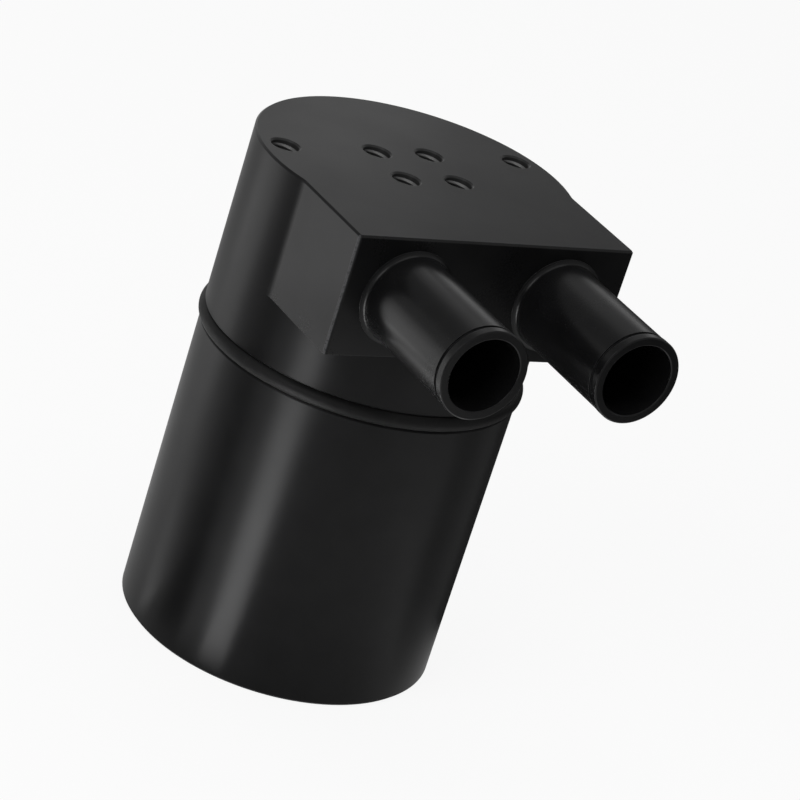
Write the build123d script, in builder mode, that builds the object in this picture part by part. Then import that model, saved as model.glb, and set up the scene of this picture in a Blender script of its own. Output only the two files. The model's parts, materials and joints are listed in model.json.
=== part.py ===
from build123d import *

import os
from math import hypot

# Oil catch can, stood on its cup: +Z up the can's axis, hose spigots towards -Y, millimetres.

# Can
can_d = 70.0
edge_chamfer = 0.4
base_chamfer = 0.6
seal_edge_chamfer = 0.4

# Cup
cup_h = 67.3
cup_wall = 4.5
cup_floor = 5.0
cup_corner_r = 3.0
cup_rim = 3.0

# Screw thread between cup and neck, bare of its ridges: bore at the root, neck at the core
thread_pitch = 2.0
thread_turns = 5
thread_depth = 1.25
thread_spare = 1.5
thread_lead = 0.8

# Seal ring, squeezed a little between the head and the cup's rim
seal_cord = 3.53
seal_squeeze = 0.13
seal_proud = 0.9
seal_seat_gap = 0.02
seal_bore_gap = 0.1

# Head: round body, port block in from its sides and proud of its front, neck below
head_h = 40.25
block_inset = 1.65
block_proud = 0.5
block_h = 26.3
block_corner_r = 0.7
block_root_r = 6.0
neck_len = 18.7
neck_wall = 2.8
neck_gap = 0.3
neck_lead = 0.6
chamber_rise = 9.3

# Tapped holes in the top, at the thread's full diameter
tap_d = 6.0
tap_depth = 10.0
tap_mouth_d = 6.7
square_pitch = 13.0
outer_inset = 6.25

# Hose spigots, in from the block's sides
spigot_inset = 15.05
spigot_len = 32.0
spigot_od = 19.2
spigot_bore = 15.7
foot_od = 21.2
foot_rim = 0.15
bead_od = 19.4
bead_w = 2.0
bead_chamfer = 0.25
groove_w = 0.7
groove_depth = 0.35
mouth_chamfer = 0.2
tail_od = 18.2
tail_len = 10.0
press_gap = 0.02

# Passages between the spigots' galleries and the chamber in the neck
passage_d = 14.0
passage_y = -3.5
gallery_spare = 0.5
drop_wall = 1.2
drop_below_neck = 16.0

# Baffle pack in the neck's chamber
plenum_h = 6.0
pad_h = 12.5
plate_t = 1.5
pack_gap = 0.3
perforation_d = 6.0
perforation_web = 2.5
spacer_od = 10.0
screw_d = 6.0
screw_gap = 0.2
screw_engage = 10.0
screw_head_d = 10.0
screw_head_h = 6.0
screw_chamfer = 0.5
screw_key = 5.0
screw_key_depth = 3.0
washer_od = 12.0
washer_t = 1.0

# Heights worked out from the sizes above
seal_h = seal_cord - seal_squeeze
seal_mid_z = cup_h + seal_seat_gap + seal_h / 2
face_z = cup_h + seal_h + 2 * seal_seat_gap
top_z = face_z + head_h
port_z = top_z - block_h / 2
neck_end_z = face_z - neck_len
roof_z = face_z + chamber_rise
thread_end_z = cup_h - thread_pitch * thread_turns - thread_spare
gallery_floor_z = port_z - spigot_bore / 2
upper_plate_z = roof_z - plenum_h - plate_t
lower_plate_z = upper_plate_z - pad_h - plate_t
washer_z = lower_plate_z - washer_t

# Radii and places worked out from the sizes above
can_r = can_d / 2
block_w = can_d - 2 * block_inset
block_front = can_r + block_proud
outer_pitch = can_d - 2 * outer_inset
spigot_pitch = block_w - 2 * spigot_inset
cup_bore_r = can_r - cup_wall
thread_r = can_r - cup_rim
core_r = thread_r - thread_depth
pilot_r = cup_bore_r - neck_gap
chamber_r = pilot_r - neck_wall
seal_outer_r = can_r + seal_proud
seal_mid_r = seal_outer_r - seal_cord / 2
shoulder_r = seal_outer_r - seal_cord - seal_bore_gap
passage_r = passage_d / 2
drop_r = passage_r - press_gap
pack_r = chamber_r - pack_gap
screw_hole_r = screw_d / 2 + screw_gap
inlet_x = -spigot_pitch / 2
outlet_x = spigot_pitch / 2
gallery_end_y = passage_y + passage_r + gallery_spare

os.makedirs("parts", exist_ok=True)


def save(piece, name):
    """Label a finished piece and write it to its own file."""
    piece.part.label = name
    export_step(piece.part, f"parts/{name}.step")


# Head: round body, then body and port block in one milled outline, then neck, chamber, galleries and holes
block_base_z = top_z - block_h
pilot_top_z = thread_end_z + neck_gap + neck_lead
shoulder_z = cup_h + neck_gap

with BuildPart() as head:
    with BuildSketch(Plane.XY.offset(face_z)):
        Circle(can_r)
    extrude(amount=block_base_z - face_z)
    chamfer(head.edges().sort_by(Axis.Z)[0], seal_edge_chamfer)

    with BuildSketch(Plane.XY.offset(block_base_z)) as outline:
        Circle(can_r)
        with Locations((0, -block_front)):
            Rectangle(block_w, block_front, align=(Align.CENTER, Align.MIN))
        block_roots = outline.vertices().group_by(Axis.Y)[1]
        fillet(block_roots, block_root_r)
        block_corners = outline.vertices().group_by(Axis.Y)[0]
        fillet(block_corners, block_corner_r)
    extrude(amount=block_h)
    chamfer(head.faces().sort_by(Axis.Z)[-1].edges(), edge_chamfer)

    with BuildSketch(Plane.XZ):
        with BuildLine():
            Polyline(
                (0, neck_end_z),
                (pilot_r - neck_lead, neck_end_z),
                (pilot_r, neck_end_z + neck_lead),
                (pilot_r, pilot_top_z),
                (core_r, pilot_top_z),
                (core_r, shoulder_z),
                (shoulder_r, shoulder_z),
                (shoulder_r, face_z),
                (0, face_z),
                close=True,
            )
        make_face()
    revolve(axis=Axis.Z)

    with BuildSketch(Plane.XY.offset(neck_end_z)):
        Circle(chamber_r)
    extrude(amount=roof_z - neck_end_z, mode=Mode.SUBTRACT)
    with BuildSketch(Plane.XZ.offset(block_front)):
        with Locations((inlet_x, port_z), (outlet_x, port_z)):
            Circle(tail_od / 2 + press_gap)
    extrude(amount=-tail_len, mode=Mode.SUBTRACT)
    with BuildSketch(Plane.XZ.offset(block_front)):
        with Locations((inlet_x, port_z), (outlet_x, port_z)):
            Circle(spigot_bore / 2)
    extrude(amount=-(block_front + gallery_end_y), mode=Mode.SUBTRACT)
    with BuildSketch(Plane.XY.offset(roof_z)):
        with Locations((inlet_x, passage_y), (outlet_x, passage_y)):
            Circle(passage_r)
    extrude(amount=port_z - roof_z, mode=Mode.SUBTRACT)
    with BuildSketch(Plane.XY.offset(roof_z)):
        Circle(screw_d / 2 + press_gap)
    extrude(amount=screw_engage + screw_gap, mode=Mode.SUBTRACT)

    with Locations((0, 0, top_z)):
        with GridLocations(square_pitch, square_pitch, 2, 2):
            CounterSinkHole(tap_d / 2, tap_mouth_d / 2, tap_depth, 90)
    with Locations((0, square_pitch / 2, top_z)):
        with GridLocations(outer_pitch, 0, 2, 1):
            CounterSinkHole(tap_d / 2, tap_mouth_d / 2, tap_depth, 90)
save(head, "head")


# Cup: turned outside, bored and threaded inside, with a rounded corner at its floor
with BuildPart() as cup:
    with BuildSketch(Plane.XZ):
        with BuildLine():
            Polyline(
                (0, cup_floor),
                (0, 0),
                (can_r - base_chamfer, 0),
                (can_r, base_chamfer),
                (can_r, cup_h - seal_edge_chamfer),
                (can_r - seal_edge_chamfer, cup_h),
                (thread_r + thread_lead, cup_h),
                (thread_r, cup_h - thread_lead),
                (thread_r, thread_end_z),
                (cup_bore_r, thread_end_z - (thread_r - cup_bore_r)),
                (cup_bore_r, cup_floor + cup_corner_r),
            )
            RadiusArc(
                (cup_bore_r, cup_floor + cup_corner_r),
                (cup_bore_r - cup_corner_r, cup_floor),
                cup_corner_r,
            )
            Line((cup_bore_r - cup_corner_r, cup_floor), (0, cup_floor))
        make_face()
    revolve(axis=Axis.Z)
save(cup, "cup")


# Seal ring: a round cord, flat where the head and the rim squeeze it
with BuildPart() as cup_seal:
    with BuildSketch(Plane.XZ):
        with Locations((seal_mid_r, seal_mid_z)):
            Circle(seal_cord / 2)
            Rectangle(seal_cord, seal_h, mode=Mode.INTERSECT)
    revolve(axis=Axis.Z)
save(cup_seal, "cup_seal")


# Hose spigots: turned tubes with a pressed tail, a flared foot on the block and a low bead at the mouth
bore_r = spigot_bore / 2
pipe_r = spigot_od / 2
tail_r = tail_od / 2
foot_r = foot_od / 2
flare_r = foot_r - pipe_r
bead_r = bead_od / 2
bead_start = spigot_len - bead_w

for name, spigot_x in (("inlet_spigot", inlet_x), ("outlet_spigot", outlet_x)):
    spigot_plane = Plane(origin=(spigot_x, -block_front, port_z))
    with BuildPart() as spigot:
        with BuildSketch(spigot_plane):
            with BuildLine():
                flare = JernArc((foot_r, -foot_rim), (-1, 0), flare_r, 90)
                Polyline(
                    flare @ 1,
                    (pipe_r, groove_w - bead_start),
                    (pipe_r - groove_depth, groove_w - bead_start),
                    (pipe_r - groove_depth, -bead_start),
                    (bead_r - bead_chamfer, -bead_start),
                    (bead_r, -bead_start - bead_chamfer),
                    (bead_r, bead_chamfer - spigot_len),
                    (bead_r - bead_chamfer, -spigot_len),
                    (bore_r + mouth_chamfer, -spigot_len),
                    (bore_r, mouth_chamfer - spigot_len),
                    (bore_r, tail_len),
                    (tail_r, tail_len),
                    (tail_r, 0),
                    (foot_r, 0),
                    flare @ 0,
                )
            make_face()
        revolve(axis=Axis(spigot_plane.origin, spigot_plane.y_dir))
    save(spigot, name)


# Drop tube: pressed into the inlet passage, open into the cup
with BuildPart() as drop_tube:
    with BuildSketch(Plane.XY.offset(neck_end_z - drop_below_neck)):
        with Locations((inlet_x, passage_y)):
            Circle(drop_r)
            Circle(drop_r - drop_wall, mode=Mode.SUBTRACT)
    extrude(amount=gallery_floor_z - neck_end_z + drop_below_neck)
save(drop_tube, "drop_tube")


def perforations():
    """Centres of the plates' holes: rows on a grid, clear of the rim, the spacer and the drop tube."""
    pitch = perforation_d + perforation_web
    reach = int(pack_r // pitch)
    rim_limit = pack_r - perforation_web - perforation_d / 2
    spacer_limit = spacer_od / 2 + perforation_d / 2
    tube_limit = passage_r + pack_gap + (perforation_web + perforation_d) / 2
    centres = []
    for column in range(-reach, reach + 1):
        for row in range(-reach, reach + 1):
            x = column * pitch
            y = row * pitch
            clear_of_rim = hypot(x, y) <= rim_limit
            clear_of_spacer = hypot(x, y) >= spacer_limit
            clear_of_tube = hypot(x - inlet_x, y - passage_y) >= tube_limit
            if clear_of_rim and clear_of_spacer and clear_of_tube:
                centres.append((x, y))
    return centres


# Perforated plates above and below the mesh
for name, plate_z in (("upper_plate", upper_plate_z), ("lower_plate", lower_plate_z)):
    with BuildPart() as plate:
        with BuildSketch(Plane.XY.offset(plate_z)):
            Circle(pack_r)
            Circle(screw_hole_r, mode=Mode.SUBTRACT)
            with Locations((inlet_x, passage_y)):
                Circle(passage_r + pack_gap, mode=Mode.SUBTRACT)
            with Locations(*perforations()):
                Circle(perforation_d / 2, mode=Mode.SUBTRACT)
        extrude(amount=plate_t)
    save(plate, name)


# Mesh pad between the plates, round the spacer and the drop tube
with BuildPart() as mesh_pad:
    with BuildSketch(Plane.XY.offset(lower_plate_z + plate_t)):
        Circle(pack_r)
        Circle(spacer_od / 2 + pack_gap, mode=Mode.SUBTRACT)
        with Locations((inlet_x, passage_y)):
            Circle(passage_r + pack_gap, mode=Mode.SUBTRACT)
    extrude(amount=pad_h)
save(mesh_pad, "mesh_pad")


# Spacer sleeves on the screw
spacers = (
    ("upper_spacer", upper_plate_z + plate_t, plenum_h),
    ("lower_spacer", lower_plate_z + plate_t, pad_h),
)
for name, spacer_z, spacer_len in spacers:
    with BuildPart() as spacer:
        with BuildSketch(Plane.XY.offset(spacer_z)):
            Circle(spacer_od / 2)
            Circle(screw_hole_r, mode=Mode.SUBTRACT)
        extrude(amount=spacer_len)
    save(spacer, name)


# Washer and socket head screw that hold the pack up
with BuildPart() as screw_washer:
    with BuildSketch(Plane.XY.offset(washer_z)):
        Circle(washer_od / 2)
        Circle(screw_hole_r, mode=Mode.SUBTRACT)
    extrude(amount=washer_t)
save(screw_washer, "screw_washer")

with BuildPart() as baffle_screw:
    with BuildSketch(Plane.XY.offset(washer_z - screw_head_h)):
        Circle(screw_head_d / 2)
    extrude(amount=screw_head_h)
    head_rim = baffle_screw.edges().sort_by(Axis.Z)[0]
    chamfer(head_rim, screw_chamfer)
    with BuildSketch(Plane.XY.offset(washer_z)):
        Circle(screw_d / 2)
    extrude(amount=roof_z + screw_engage - washer_z)
    with BuildSketch(Plane.XY.offset(washer_z - screw_head_h)):
        RegularPolygon(screw_key / 2, 6, major_radius=False)
    extrude(amount=screw_key_depth, mode=Mode.SUBTRACT)
save(baffle_screw, "baffle_screw")
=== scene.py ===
import json
from collections import namedtuple
from math import cos, hypot, radians, sin, tau

import bpy
from mathutils import Matrix, Vector


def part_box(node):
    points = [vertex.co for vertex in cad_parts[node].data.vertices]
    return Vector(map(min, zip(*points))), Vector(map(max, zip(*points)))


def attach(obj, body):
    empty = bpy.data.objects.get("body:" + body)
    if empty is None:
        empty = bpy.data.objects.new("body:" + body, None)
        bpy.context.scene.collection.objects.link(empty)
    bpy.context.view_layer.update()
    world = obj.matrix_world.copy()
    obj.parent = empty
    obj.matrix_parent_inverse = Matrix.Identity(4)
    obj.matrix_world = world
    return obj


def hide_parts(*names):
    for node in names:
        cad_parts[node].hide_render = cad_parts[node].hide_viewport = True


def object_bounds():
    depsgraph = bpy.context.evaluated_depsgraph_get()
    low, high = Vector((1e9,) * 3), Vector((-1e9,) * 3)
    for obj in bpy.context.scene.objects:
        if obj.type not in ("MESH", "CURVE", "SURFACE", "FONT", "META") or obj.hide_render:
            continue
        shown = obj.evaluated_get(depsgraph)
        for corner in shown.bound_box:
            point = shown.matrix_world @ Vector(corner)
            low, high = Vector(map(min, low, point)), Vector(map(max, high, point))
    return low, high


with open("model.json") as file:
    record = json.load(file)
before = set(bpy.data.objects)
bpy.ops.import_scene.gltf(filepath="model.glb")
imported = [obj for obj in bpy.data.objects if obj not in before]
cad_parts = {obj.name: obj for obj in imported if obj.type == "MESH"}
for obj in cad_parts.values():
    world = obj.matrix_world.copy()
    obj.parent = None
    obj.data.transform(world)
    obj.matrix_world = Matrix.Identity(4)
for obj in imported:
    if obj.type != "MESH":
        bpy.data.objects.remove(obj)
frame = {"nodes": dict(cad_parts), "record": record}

# Oil catch can on a white floor, in metres and in the model's own frame: +Z up, hose spigots towards -Y.
# An azimuth is in degrees from the front, -Y, and grows towards +X.

MM = 0.001
cad_low, cad_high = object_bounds()

# Camera, as the photograph was taken
CAMERA_AZIMUTH = -36.483
CAMERA_ELEVATION = 23.446
CAMERA_ROLL = 17.923
CAMERA_DISTANCE = 0.707213
CAMERA_AIM = Vector((0.010378, -0.005104, 0.058556))
CAMERA_LENS_MM = 148.136
SENSOR_MM = 36.0

# Outer form that the finishes and the studio cards are placed by
CAN_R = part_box("cup")[1][0]
BLOCK_EDGE_R = CAN_R + 0.15 * MM
BLOCK_HALF_W = 33.35 * MM
BLOCK_FRONT = -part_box("head")[0][1]
CORNER_INSET = 0.45 * MM
CORNER_LINE = (BLOCK_HALF_W, BLOCK_FRONT - CORNER_INSET, 0.0)
# Painted highlight: a paler line along the block's upright front corners, full within the first radius and
# gone at the second
CORNER_HIGHLIGHT_R = 0.25 * MM
CORNER_HIGHLIGHT_END_R = 0.45 * MM

# Ridges of the threads: widths at foot and crest, pitch, turns and points in a turn
RidgeForm = namedtuple("RidgeForm", "root_w crest_w pitch turns steps")
RIDGE_CORNERS = 4
RIDGE_SUNK = 0.05 * MM
RIDGE_FADE_TURNS = 0.25
RIDGE_TIP_STEPS = 0.1
RIDGE_SHARP_ANGLE = 30

# Screw thread between the neck and the cup
SCREW_FORM = RidgeForm(root_w=1.3 * MM, crest_w=0.3 * MM, pitch=2.0 * MM, turns=4.5, steps=120)
SCREW_CLEARANCE = 0.25 * MM
NECK_CORE_R = 30.75 * MM
CUP_THREAD_R = 32.0 * MM
NECK_THREAD_LOW = 57.6 * MM
CUP_THREAD_LOW = 56.8 * MM

# Tapped holes of the top, with threads that begin a little below the mouths
TAP_FORM = RidgeForm(root_w=0.98 * MM, crest_w=0.15 * MM, pitch=1.0 * MM, turns=8.0, steps=40)
TAP_R = 3.0 * MM
TAP_CREST_R = 2.5 * MM
TAP_TOP_GAP = 1.35 * MM
TAP_TOP_ANGLE = radians(130)
TAP_DEPTH = 10.0 * MM
TAP_FLOOR = cad_high[2] - TAP_DEPTH
TAP_REACH = CAN_R - 2.0 * MM

# Knitted wire of the mesh pad: loops lean along their row and swing across it
WIRE_R = 0.17 * MM
WIRE_SIDES = 4
WIRE_LAYERS = 5
WIRE_ROW = 2.2 * MM
WIRE_LOOP = 3.4 * MM
WIRE_STEPS = 10
WIRE_GAP = 0.4 * MM
WIRE_SHARP_ANGLE = 180
LOOP_LEAN = 0.2
LOOP_SWING = 0.75

# Black anodise
AXES = {"X": (1, 0, 0), "Y": (0, 1, 0), "Z": (0, 0, 1)}
ANODISE_DARK = (0.0036, 0.0036, 0.0038)
ANODISE_PALE = (0.0054, 0.0054, 0.0056)
# Paler colour of the rubbed edges, which also paints a highlight on them, and of the painted highlight
# along the block's front corners
ANODISE_WORN_AND_HIGHLIGHT = (0.05, 0.05, 0.052)
EDGE_RADIUS = 0.15 * MM
EDGE_SAMPLES = 16
END_FACING = 0.8
IN_PLAN = (1, 1, 0)
RING_STRETCH = 0.05
RING_SHARE = 0.4

# Bare metals: a stain's brightness, as a share of the dull tone's
STAIN_SHADE = 0.8

# Studio: lift and steps of the cards, reach and glow of the floor, light of the world
CARD_LIFT = 0.5 * MM
FLOOR_CARD_STEPS = 6
WALL_CARD_STEPS = 8
FLOOR_REACH = 6.0
FLOOR_GLOW_SHARE = 0.9
WORLD_LIGHT = 0.35
WHITE = (1, 1, 1, 1)

# Cards on the floor: name, azimuths of the can's side that mirrors them, nearest and farthest, glow
FLOOR_CARDS = (
    ("left_near_card", -91, -85.5, 0.008, 0.08, 3.8),
    ("left_dip_card", -93.5, -85.5, 0.08, 0.13, 2.1),
    ("left_card", -93.5, -85.5, 0.13, 0.165, 5.8),
    ("left_far_card", -95, -85.5, 0.165, 0.205, 2.8),
    ("left_end_card", -97, -84, 0.205, 1.2, 3.8),
    ("limb_flag", -125, -104, 0.17, 0.5, 0.5),
    ("gap_flag", -79, -68, 0.008, 0.35, 0.05),
    ("step_card", -67.5, -57.7, 0.008, 0.32, 3.0),
    ("stripe_near_card", -57.7, -48.3, 0.008, 0.07, 18.5),
    ("stripe_card", -57.7, -48.3, 0.07, 0.165, 23.0),
    ("stripe_far_card", -57.7, -48.3, 0.165, 0.32, 8.0),
    ("front_card", -44, 12, 0.03, 0.19, 2.0),
    ("front_flag", -3, 12, 0.2, 0.6, 0.02),
    ("right_flag", 12, 34, 0.025, 0.35, 0.4),
    ("edge_flag", 34, 60, 0.025, 0.35, 0.05),
)

# Upright cards: name, azimuths they stand at, distance, lowest and highest, glow
WALL_CARDS = (
    ("right_wall_flag", 60, 142, 0.3, 0.0, 0.15, 0.06),
    ("right_upper_flag", 60, 142, 0.3, 0.15, 0.182, 0.3),
    ("left_wall_card", -152, -130, 1.2, 0.0, 0.22, 2.8),
    ("back_left_flag", -180, -135, 0.5, 0.34, 0.7, 0.55),
    ("back_card", 110, 172, 0.5, 0.2, 0.5, 1.68),
    ("top_card", 95, 140, 0.2, 0.16, 0.214, 1.4),
    ("spigot_flag", 120, 153, 0.2, 0.214, 0.29, 0.6),
)

# Square lamps: name, azimuth, elevation, distance, width, watts
SOFTBOXES = (
    ("key", -70, 35, 1.0, 0.5, 4.0),
    ("overhead", 0, 88, 1.2, 1.0, 5.0),
)


def direction(azimuth, elevation):
    """Unit vector towards an azimuth and an elevation."""
    a = radians(azimuth)
    e = radians(elevation)
    return Vector((sin(a) * cos(e), -cos(a) * cos(e), sin(e)))


# Pieces


def new_piece(name, points, faces, body, sharp_angle):
    """A mesh piece that rides on a body."""
    mesh = bpy.data.meshes.new(name)
    mesh.from_pydata(points, [], faces)
    mesh.shade_smooth()
    mesh.set_sharp_from_angle(angle=radians(sharp_angle))
    piece = bpy.data.objects.new(name, mesh)
    bpy.context.scene.collection.objects.link(piece)
    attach(piece, body)
    return piece


def skin(start, rings, sides):
    """Faces between rings of points that follow each other, from a first point on, and the two end caps."""
    quads = []
    for i in range(rings - 1):
        near = start + sides * i
        for k in range(sides):
            n = (k + 1) % sides
            quads.append((near + k, near + n, near + sides + n, near + sides + k))
    end = start + sides * (rings - 1)
    first_cap = tuple(range(start, start + sides))[::-1]
    last_cap = tuple(range(end, end + sides))
    return quads + [first_cap, last_cap]


def add_ridge(points, faces, centre, low, phase, root_r, crest_r, form):
    """A right-hand helical ridge about an upright axis, faded out at its ends."""
    inward = crest_r < root_r
    foot_r = root_r + (RIDGE_SUNK if inward else -RIDGE_SUNK)
    count = int(form.turns * form.steps)
    fade_steps = RIDGE_FADE_TURNS * form.steps
    half_root = form.root_w / 2
    half_crest = form.crest_w / 2
    start = len(points)
    for i in range(count + 1):
        angle = tau * i / form.steps + phase
        height = low + form.pitch * i / form.steps
        rise = min(1.0, (i + RIDGE_TIP_STEPS) / fade_steps, (count - i + RIDGE_TIP_STEPS) / fade_steps)
        top_r = root_r + (crest_r - root_r) * rise
        section = ((foot_r, -half_root), (top_r, -half_crest), (top_r, half_crest), (foot_r, half_root))
        for radius, offset in section:
            x = centre[0] + radius * cos(angle)
            y = centre[1] + radius * sin(angle)
            points.append((x, y, height + offset))
    quads = skin(start, count + 1, RIDGE_CORNERS)
    faces += quads if inward else [quad[::-1] for quad in quads]


def neck_thread():
    """The thread outside the head's neck."""
    points, faces = [], []
    crest_r = CUP_THREAD_R - SCREW_CLEARANCE
    add_ridge(points, faces, (0, 0), NECK_THREAD_LOW, 0.0, NECK_CORE_R, crest_r, SCREW_FORM)
    return new_piece("neck_thread", points, faces, "head_assembly", RIDGE_SHARP_ANGLE)


def cup_thread():
    """The thread inside the cup, half a pitch away from the neck's."""
    points, faces = [], []
    crest_r = NECK_CORE_R + SCREW_CLEARANCE
    between = NECK_THREAD_LOW - SCREW_FORM.pitch / 2
    phase = tau * (CUP_THREAD_LOW - between) / SCREW_FORM.pitch
    add_ridge(points, faces, (0, 0), CUP_THREAD_LOW, phase, CUP_THREAD_R, crest_r, SCREW_FORM)
    return new_piece("cup_thread", points, faces, "cup", RIDGE_SHARP_ANGLE)


def tapped_places():
    """Mouths of the tapped holes, from the bolt patterns in the record."""
    places = []
    for mount in frame["record"]["mounts"]:
        if mount["kind"] != "bolt_pattern":
            continue
        x, y, z = mount["pos_m"]
        half_x = mount["dims"]["spacing_x_mm"] * MM / 2
        half_y = mount["dims"].get("spacing_y_mm", 0.0) * MM / 2
        rows = (-half_y, half_y) if half_y else (0.0,)
        places += [(x + side, y + row, z) for side in (-half_x, half_x) for row in rows]
    return places


def tapped_threads():
    """The threads in the head's six tapped holes."""
    points, faces = [], []
    phase = TAP_TOP_ANGLE - tau * TAP_FORM.turns
    for x, y, mouth in tapped_places():
        low = mouth - TAP_TOP_GAP - TAP_FORM.pitch * TAP_FORM.turns
        add_ridge(points, faces, (x, y), low, phase, TAP_R, TAP_CREST_R, TAP_FORM)
    return new_piece("tapped_threads", points, faces, "head_assembly", RIDGE_SHARP_ANGLE)


def add_tube(points, faces, path):
    """A closed wire along a path of points."""
    start = len(points)
    for i, place in enumerate(path):
        along = (path[min(i + 1, len(path) - 1)] - path[max(i - 1, 0)]).normalized()
        side = along.cross(Vector((0, 0, 1))).normalized()
        up = side.cross(along)
        for k in range(WIRE_SIDES):
            angle = tau * k / WIRE_SIDES
            points.append(place + (side * cos(angle) + up * sin(angle)) * WIRE_R)
    faces += skin(start, len(path), WIRE_SIDES)


def round_hole(node, gap):
    """Centre and radius of the hole that an upright round node needs."""
    low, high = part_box(node)
    centre = ((low[0] + high[0]) / 2, (low[1] + high[1]) / 2)
    return centre, (high[0] - low[0]) / 2 + gap


def loop_row(layer, row, rim, middle, wave):
    """The path of one row of loops, which runs along X in even layers and along Y in odd ones."""
    path = []
    for i in range(int(2 * rim / WIRE_LOOP * WIRE_STEPS) + 1):
        turn = tau * i / WIRE_STEPS
        along = -rim + WIRE_LOOP * i / WIRE_STEPS + LOOP_LEAN * WIRE_LOOP * sin(2 * turn)
        across = WIRE_ROW * (row + LOOP_SWING * cos(turn))
        height = middle + wave * cos(2 * turn + layer)
        flat = (along, across) if layer % 2 == 0 else (across, along)
        path.append(Vector((*flat, height)))
    return path


def free_runs(path, rim, holes):
    """The stretches of a path, of three points or more, inside the rim and clear of the holes."""
    runs = [[]]
    for place in path:
        clear = all(hypot(place.x - centre[0], place.y - centre[1]) > radius for centre, radius in holes)
        if clear and hypot(place.x, place.y) < rim:
            runs[-1].append(place)
        else:
            runs.append([])
    return [run for run in runs if len(run) > 2]


def mesh_pad():
    """Crossed layers of knitted wire, in the space of the pad's plain solid."""
    low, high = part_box("mesh_pad")
    rim = high[0] - WIRE_R - WIRE_GAP / 2
    holes = [round_hole("lower_spacer", WIRE_GAP), round_hole("drop_tube", WIRE_GAP)]
    layer_h = (high[2] - low[2]) / WIRE_LAYERS
    wave = layer_h / 2 - WIRE_R
    rows = int(rim / WIRE_ROW)
    points, faces = [], []
    for layer in range(WIRE_LAYERS):
        middle = low[2] + layer_h * (layer + 0.5)
        for row in range(-rows, rows + 1):
            for run in free_runs(loop_row(layer, row, rim, middle, wave), rim, holes):
                add_tube(points, faces, run)
    pad = new_piece("knitted_wire", points, faces, "head_assembly", WIRE_SHARP_ANGLE)
    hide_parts("mesh_pad")
    return pad


# Materials


def node_adder(tree):
    """A function that adds a node to a tree, with its settings and with values or links on its inputs."""

    def add(kind, inputs=None, **settings):
        node = tree.nodes.new(kind)
        for key, value in settings.items():
            setattr(node, key, value)
        for key, value in (inputs or {}).items():
            if isinstance(value, bpy.types.NodeSocket):
                tree.links.new(value, node.inputs[key])
            else:
                node.inputs[key].default_value = value
        return node

    return add


class Finish:
    """A material with one Principled shader and short calls for the nodes that drive it."""

    def __init__(self, name):
        self.material = bpy.data.materials.new(name)
        self.material.use_nodes = True
        self.tree = self.material.node_tree
        self.shader = self.tree.nodes["Principled BSDF"]
        self.output = self.tree.nodes["Material Output"]
        self.add = node_adder(self.tree)
        self.place = self.add("ShaderNodeTexCoord").outputs["Object"]

    def fixed(self, **values):
        """Set inputs of the shader to values."""
        for key, value in values.items():
            self.shader.inputs[key.replace("_", " ")].default_value = value

    def drive(self, key, socket):
        """Link an input of the shader."""
        self.tree.links.new(socket, self.shader.inputs[key])

    def noise(self, scale, detail, stretch=(1, 1, 1)):
        where = self.add("ShaderNodeMapping", {"Vector": self.place, "Scale": stretch}).outputs[0]
        inputs = {"Vector": where, "Scale": scale, "Detail": detail}
        return self.add("ShaderNodeTexNoise", inputs).outputs["Fac"]

    def math(self, operation, first, second=0.0):
        return self.add("ShaderNodeMath", {0: first, 1: second}, operation=operation).outputs[0]

    def vector(self, operation, first, second=(0, 0, 0)):
        """The vector that a vector operation gives."""
        node = self.add("ShaderNodeVectorMath", {0: first, 1: second}, operation=operation)
        return node.outputs["Vector"]

    def measure(self, operation, first, second=(0, 0, 0)):
        """The number that a vector operation gives."""
        node = self.add("ShaderNodeVectorMath", {0: first, 1: second}, operation=operation)
        return node.outputs["Value"]

    def spread(self, socket, low, high, from_low=0.3, from_high=0.7):
        """Map a number from one range to another. The range it comes from suits a noise unless given."""
        source = {"Value": socket, "From Min": from_low, "From Max": from_high}
        target = {"To Min": low, "To Max": high}
        return self.add("ShaderNodeMapRange", {**source, **target}).outputs[0]

    def choose(self, mask, first, second):
        """The first number where a mask is 0, the second where it is 1."""
        return self.add("ShaderNodeMix", {0: mask, 2: first, 3: second}).outputs[0]

    def choose_vector(self, mask, first, second):
        """The first vector where a mask is 0, the second where it is 1."""
        return self.add("ShaderNodeMix", {0: mask, 4: first, 5: second}, data_type="VECTOR").outputs[1]

    def blend(self, factor, first, second):
        """A mix of two colours."""
        node = self.add("ShaderNodeMix", {"Factor": factor}, data_type="RGBA")
        for key, value in (("A", first), ("B", second)):
            if isinstance(value, bpy.types.NodeSocket):
                self.tree.links.new(value, node.inputs[key])
            else:
                node.inputs[key].default_value = (*value, 1)
        return node.outputs["Result"]

    def bump(self, height, strength, distance, normal=None):
        inputs = {"Height": height, "Strength": strength, "Distance": distance}
        if normal is not None:
            inputs["Normal"] = normal
        self.drive("Normal", self.add("ShaderNodeBump", inputs).outputs[0])

    def show(self, shader):
        """Show another shader in place of the Principled one."""
        self.tree.links.new(shader.outputs[0], self.output.inputs["Surface"])
        self.material.cycles.emission_sampling = "NONE"


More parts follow.
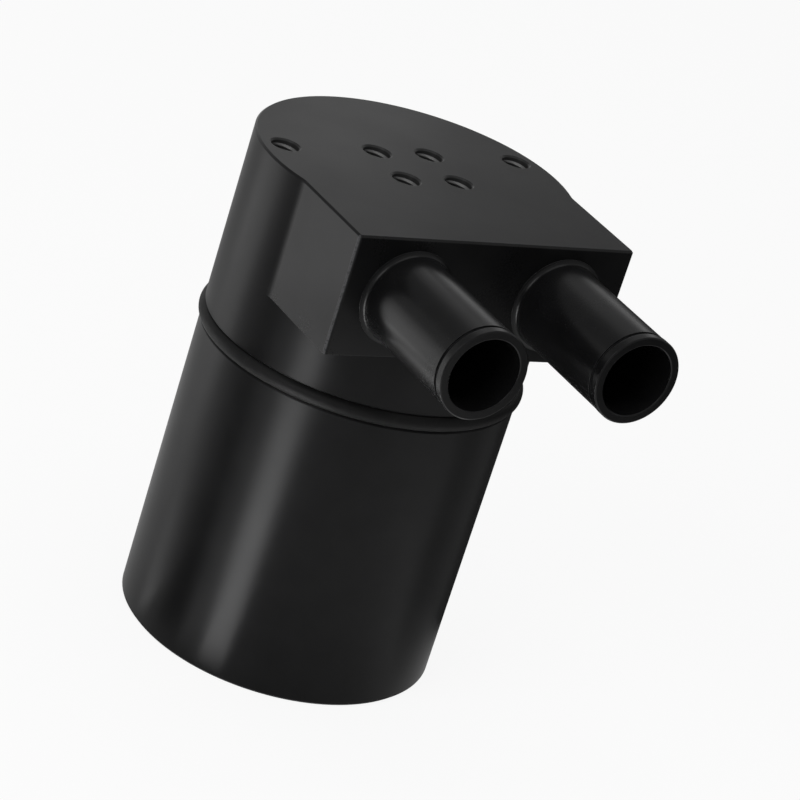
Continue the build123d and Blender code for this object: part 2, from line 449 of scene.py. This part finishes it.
def worn_edges_and_corner_highlight(finish, surface, rounded, grain):
    """Mask of the rubbed sharp edges, which also serve as a painted highlight, and of a painted highlight
    along the block's upright front corners.
    """
    # Rubbed sharp edges, lightened also as a painted highlight
    level = finish.measure("DOT_PRODUCT", rounded, surface)
    edge = finish.spread(level, 1.0, 0.0, from_low=0.8, from_high=0.98)
    edge_speckle = finish.spread(grain, 0.0, 0.6, from_low=0.4, from_high=0.65)
    # Painted highlight: a thin lighter line along the block's upright front corners
    folded = finish.vector("ABSOLUTE", finish.place)
    plan = finish.vector("MULTIPLY", folded, IN_PLAN)
    off_corner = finish.measure("DISTANCE", plan, CORNER_LINE)
    corner = finish.spread(off_corner, 1.0, 0.0, from_low=CORNER_HIGHLIGHT_R, from_high=CORNER_HIGHLIGHT_END_R)
    corner_highlight_speckle = finish.spread(grain, 0.3, 1.6)
    worn_and_highlit_edge = finish.math("MULTIPLY", edge, edge_speckle)
    corner_highlight = finish.math("MULTIPLY", corner, corner_highlight_speckle)
    return finish.math("MAXIMUM", worn_and_highlit_edge, corner_highlight)


def machined_regions(finish, surface, axis):
    """Masks of the flat ends across an axis, of the block's sides and of the walls of the tapped holes."""
    facing = finish.measure("DOT_PRODUCT", surface, AXES[axis])
    is_end = finish.math("GREATER_THAN", finish.math("ABSOLUTE", facing), END_FACING)
    reach = finish.measure("LENGTH", finish.vector("MULTIPLY", finish.place, IN_PLAN))
    is_block = finish.math("GREATER_THAN", reach, BLOCK_EDGE_R)
    height = finish.add("ShaderNodeSeparateXYZ", {0: finish.place}).outputs["Z"]
    is_top = finish.math("GREATER_THAN", height, TAP_FLOOR)
    is_within = finish.math("LESS_THAN", reach, TAP_REACH)
    is_side = finish.math("SUBTRACT", 1.0, is_end)
    in_hole = finish.math("MULTIPLY", finish.math("MULTIPLY", is_top, is_within), is_side)
    return is_end, is_block, in_hole


def turned_relief(finish, axis, grain):
    """Height of the fine rings that turning about an axis leaves, with the grain."""
    stretch = [1.0 if key == axis else RING_STRETCH for key in AXES]
    rings = finish.noise(scale=7000.0, detail=4.0, stretch=stretch)
    return finish.math("ADD", finish.math("MULTIPLY", rings, RING_SHARE), grain)


def anodise(name, axis, round_rough, block_rough, end_rough, anisotropy=0.0, shine=0.09, hole_lit_tone=0.018):
    """Satin black anodise on metal turned about an axis, with milled flats, and tapped holes whose walls
    are painted paler, as painted light in their shade.
    """
    finish = Finish(name)
    surface = finish.add("ShaderNodeNewGeometry").outputs["True Normal"]
    rounded = finish.add("ShaderNodeBevel", {"Radius": EDGE_RADIUS}, samples=EDGE_SAMPLES).outputs[0]
    grain = finish.noise(scale=2600.0, detail=2.0)
    mottle = finish.noise(scale=160.0, detail=5.0)
    smudge = finish.noise(scale=28.0, detail=3.0)
    is_end, is_block, in_hole = machined_regions(finish, surface, axis)

    tone = finish.blend(finish.spread(mottle, 0.0, 1.0), ANODISE_DARK, ANODISE_PALE)
    # Painted light: the walls of the tapped holes get a paler tone, which lifts the shade in them
    tone = finish.blend(in_hole, tone, (hole_lit_tone, hole_lit_tone, hole_lit_tone))
    # Base colour: rubbed edges and a painted corner highlight, lighter than the tone
    wear_and_highlight = worn_edges_and_corner_highlight(finish, surface, rounded, grain)
    finish.drive("Base Color", finish.blend(wear_and_highlight, tone, ANODISE_WORN_AND_HIGHLIGHT))

    rough = finish.choose(is_block, round_rough, block_rough)
    rough = finish.choose(is_end, rough, end_rough)
    uneven = finish.math("ADD", finish.spread(grain, -0.006, 0.006), finish.spread(smudge, -0.025, 0.025))
    finish.drive("Roughness", finish.math("ADD", rough, uneven))
    finish.bump(turned_relief(finish, axis, grain), strength=0.3, distance=0.01 * MM, normal=rounded)

    around = finish.vector("CROSS_PRODUCT", surface, AXES[axis])
    side_grain = finish.choose_vector(is_block, AXES[axis], around)
    finish.drive("Tangent", finish.choose_vector(is_end, side_grain, AXES["X"]))
    finish.fixed(Specular_IOR_Level=shine, Anisotropic=anisotropy)
    return finish.material


def rubber():
    """Moulded black rubber with a little dust."""
    finish = Finish("seal_rubber")
    dust = finish.noise(scale=900.0, detail=5.0)
    patches = finish.noise(scale=60.0, detail=3.0)
    dark = (0.0045, 0.0045, 0.0046)
    pale = (0.0075, 0.0075, 0.0075)
    dusty = (0.02, 0.02, 0.019)
    tone = finish.blend(finish.spread(patches, 0.0, 1.0), dark, pale)
    dust_share = finish.spread(dust, 0.0, 0.25, from_low=0.55, from_high=0.75)
    finish.drive("Base Color", finish.blend(dust_share, tone, dusty))
    finish.drive("Roughness", finish.spread(dust, 0.46, 0.56))
    finish.bump(dust, strength=0.3, distance=0.02 * MM)
    finish.fixed(Specular_IOR_Level=0.065)
    return finish.material


def bare_metal(name, dull, bright, rough_low, rough_high, grain_scale, stretch=(1, 1, 1)):
    """Uncoated metal, with a grain in its colour, its shine and its surface."""
    finish = Finish(name)
    grain = finish.noise(scale=grain_scale, detail=4.0, stretch=stretch)
    stain = finish.noise(scale=120.0, detail=4.0)
    stained = tuple(STAIN_SHADE * value for value in dull)
    tone = finish.blend(finish.spread(grain, 0.0, 1.0), dull, bright)
    stain_share = finish.spread(stain, 0.0, 0.5, from_low=0.5, from_high=0.8)
    finish.drive("Base Color", finish.blend(stain_share, tone, stained))
    finish.drive("Roughness", finish.spread(grain, rough_low, rough_high))
    finish.bump(grain, strength=0.25, distance=0.01 * MM)
    finish.fixed(Metallic=1.0)
    return finish.material


def seen_directly(add):
    """1 for camera, glossy and transmission rays, 0 for the light that falls on things."""
    path = add("ShaderNodeLightPath").outputs
    inputs = {0: path["Is Camera Ray"], 1: path["Is Glossy Ray"]}
    either = add("ShaderNodeMath", inputs, operation="MAXIMUM").outputs[0]
    inputs = {0: either, 1: path["Is Transmission Ray"]}
    return add("ShaderNodeMath", inputs, operation="MAXIMUM").outputs[0]


def white_floor():
    """Matte white, which reads as the white background and keeps the object's shadow."""
    finish = Finish("white_floor")
    grain = finish.noise(scale=400.0, detail=4.0)
    finish.drive("Base Color", finish.blend(grain, (0.79, 0.79, 0.79), (0.81, 0.81, 0.81)))
    finish.fixed(Roughness=0.9, Specular_IOR_Level=0.0)
    share = finish.math("MULTIPLY", seen_directly(finish.add), FLOOR_GLOW_SHARE)
    glow = finish.add("ShaderNodeEmission", {"Color": WHITE, "Strength": 1.0})
    inputs = {0: share, 1: finish.shader.outputs[0], 2: glow.outputs[0]}
    finish.show(finish.add("ShaderNodeMixShader", inputs))
    return finish.material


def card_glow(name, strength):
    """An even glow: 0 is a black card, 1 is as white as the floor, more is a light panel."""
    finish = Finish(name)
    finish.show(finish.add("ShaderNodeEmission", {"Color": WHITE, "Strength": strength}))
    return finish.material


def dress(material, *objects):
    """Put a material on every slot of some objects."""
    for obj in objects:
        if not obj.material_slots:
            obj.data.materials.append(material)
        for slot in obj.material_slots:
            slot.material = material


# Studio


def add_stage(name, points, faces, material):
    """A mesh of the studio, which isn't part of the object."""
    mesh = bpy.data.meshes.new(name)
    mesh.from_pydata(points, [], faces)
    mesh.materials.append(material)
    obj = bpy.data.objects.new(name, mesh)
    bpy.context.scene.collection.objects.link(obj)
    return obj


def add_floor():
    """A wide floor under the object."""
    low, high = -FLOOR_REACH, FLOOR_REACH
    corners = [(low, low, 0), (high, low, 0), (high, high, 0), (low, high, 0)]
    add_stage("floor", corners, [(0, 1, 2, 3)], white_floor())


def add_card(name, edges, strength):
    """A studio card between two rows of points, seen only in reflections."""
    points = [point for pair in edges for point in pair]
    faces = [(2 * i, 2 * i + 1, 2 * i + 3, 2 * i + 2) for i in range(len(edges) - 1)]
    card = add_stage(name, points, faces, card_glow(name, strength))
    card.visible_camera = False
    card.visible_diffuse = False
    card.visible_shadow = False


def steps_between(first, last, count):
    """Azimuths at even steps from a first to a last one."""
    return [first + (last - first) * i / count for i in range(count + 1)]


def add_floor_card(name, first_normal, last_normal, near, far, strength):
    """A card on the floor, in the wedge that the can's side mirrors between two azimuths of its normal."""
    edges = []
    for normal in steps_between(first_normal, last_normal, FLOOR_CARD_STEPS):
        foot = direction(normal, 0) * CAN_R + Vector((0, 0, CARD_LIFT))
        away = direction(2 * normal - CAMERA_AZIMUTH, 0)
        edges.append((foot + away * near, foot + away * far))
    add_card(name, edges, strength)


def add_wall_card(name, first_azimuth, last_azimuth, distance, low, high, strength):
    """A curved upright card round the object, between two azimuths and two heights."""
    edges = []
    for azimuth in steps_between(first_azimuth, last_azimuth, WALL_CARD_STEPS):
        foot = direction(azimuth, 0) * distance
        edges.append((foot + Vector((0, 0, low)), foot + Vector((0, 0, high))))
    add_card(name, edges, strength)


def add_softbox(name, azimuth, elevation, distance, width, watts):
    """A square area lamp that looks at the object."""
    lamp = bpy.data.lights.new(name, "AREA")
    lamp.shape = "SQUARE"
    lamp.size = width
    lamp.energy = watts
    softbox = bpy.data.objects.new(name, lamp)
    towards = direction(azimuth, elevation)
    softbox.location = Vector((0, 0, cad_high[2] / 2)) + towards * distance
    softbox.rotation_mode = "QUATERNION"
    softbox.rotation_quaternion = towards.to_track_quat("Z", "Y")
    softbox.visible_camera = False
    bpy.context.scene.collection.objects.link(softbox)


def add_world():
    """White to the camera and to mirrors, and a dimmer light on the object."""
    world = bpy.data.worlds.new("studio")
    bpy.context.scene.world = world
    world.use_nodes = True
    background = world.node_tree.nodes["Background"]
    background.inputs["Color"].default_value = WHITE
    add = node_adder(world.node_tree)
    inputs = {"Value": seen_directly(add), "To Min": WORLD_LIGHT, "To Max": 1.0}
    level = add("ShaderNodeMapRange", inputs).outputs[0]
    world.node_tree.links.new(level, background.inputs["Strength"])
    world.cycles.sampling_method = "NONE"


def add_camera():
    """The camera that sees the object as the photograph does."""
    data = bpy.data.cameras.new("photo_camera")
    data.sensor_width = SENSOR_MM
    data.lens = CAMERA_LENS_MM
    camera = bpy.data.objects.new("photo_camera", data)
    bpy.context.scene.collection.objects.link(camera)
    back = direction(CAMERA_AZIMUTH, CAMERA_ELEVATION)
    level = back.to_track_quat("Z", "Y").to_matrix().to_4x4()
    roll = Matrix.Rotation(radians(CAMERA_ROLL), 4, "Z")
    camera.matrix_world = Matrix.Translation(CAMERA_AIM + back * CAMERA_DISTANCE) @ level @ roll
    bpy.context.scene.camera = camera


# Assembly

nodes = frame["nodes"]
body_finish = anodise("black_anodise", "Z", round_rough=0.41, block_rough=0.28, end_rough=0.42,
                      anisotropy=0.89)
spigot_finish = anodise("black_anodise_spigot", "Y", round_rough=0.27, block_rough=0.27, end_rough=0.3)
thread_finish = anodise("black_anodise_thread", "Z", round_rough=0.3, block_rough=0.3, end_rough=0.3,
                        shine=0.35, hole_lit_tone=0.055)
aluminium = bare_metal("bare_aluminium", dull=(0.6, 0.61, 0.63), bright=(0.76, 0.77, 0.79),
                       rough_low=0.28, rough_high=0.42, grain_scale=3000.0, stretch=(0.1, 0.1, 1))
steel = bare_metal("screw_steel", dull=(0.48, 0.48, 0.49), bright=(0.62, 0.62, 0.63),
                   rough_low=0.25, rough_high=0.38, grain_scale=1800.0)
wire = bare_metal("wire_mesh", dull=(0.45, 0.45, 0.46), bright=(0.6, 0.6, 0.61),
                  rough_low=0.22, rough_high=0.34, grain_scale=2500.0)

dress(body_finish, nodes["head"], nodes["cup"])
dress(thread_finish, neck_thread(), cup_thread(), tapped_threads())
dress(spigot_finish, nodes["inlet_spigot"], nodes["outlet_spigot"])
dress(rubber(), nodes["cup_seal"])
dress(aluminium, nodes["drop_tube"], nodes["upper_plate"], nodes["lower_plate"])
dress(aluminium, nodes["upper_spacer"], nodes["lower_spacer"])
dress(steel, nodes["baffle_screw"], nodes["screw_washer"])
dress(wire, mesh_pad())

add_floor()
add_world()
for card in FLOOR_CARDS:
    add_floor_card(*card)
for card in WALL_CARDS:
    add_wall_card(*card)
for softbox in SOFTBOXES:
    add_softbox(*softbox)
add_camera()
bpy.context.scene.view_settings.view_transform = "Standard"
